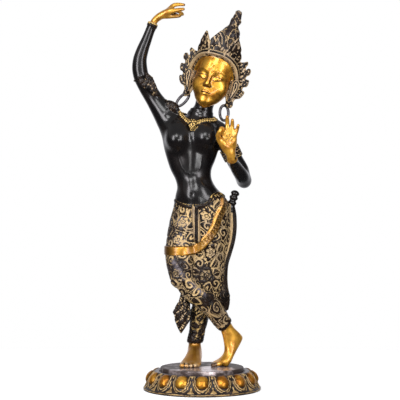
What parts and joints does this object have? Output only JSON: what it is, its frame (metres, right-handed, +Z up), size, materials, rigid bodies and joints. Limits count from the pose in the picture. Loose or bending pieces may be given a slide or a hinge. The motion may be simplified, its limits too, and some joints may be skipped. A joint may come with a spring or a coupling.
{
  "type": "maya devi statue",
  "caption": "Crowned lady in cast brass, arm raised over her head and legs crossed, on a round foot plate and a lotus pedestal.",
  "frame": {"origin": "centre of the pedestal's underside, on the surface it stands on", "axes": "+Z up, -Y the way the figure and the middle petal face, +X to the lady's left"},
  "size_m": [0.2881, 0.262, 0.861],
  "materials": {
    "lacquered_brass": "glossy black lacquer with polished gold skin, sash and feet and antique gold relief",
    "dark_bronze": "dark brown-grey patina with a soft sheen",
    "antique_brass": "dark patina in the hollows and polished gold petals"
  },
  "bodies": {
    "root": {"figure": "lacquered_brass", "foot_disc": "dark_bronze", "lotus_base": "antique_brass"}
  },
  "joints": []
}
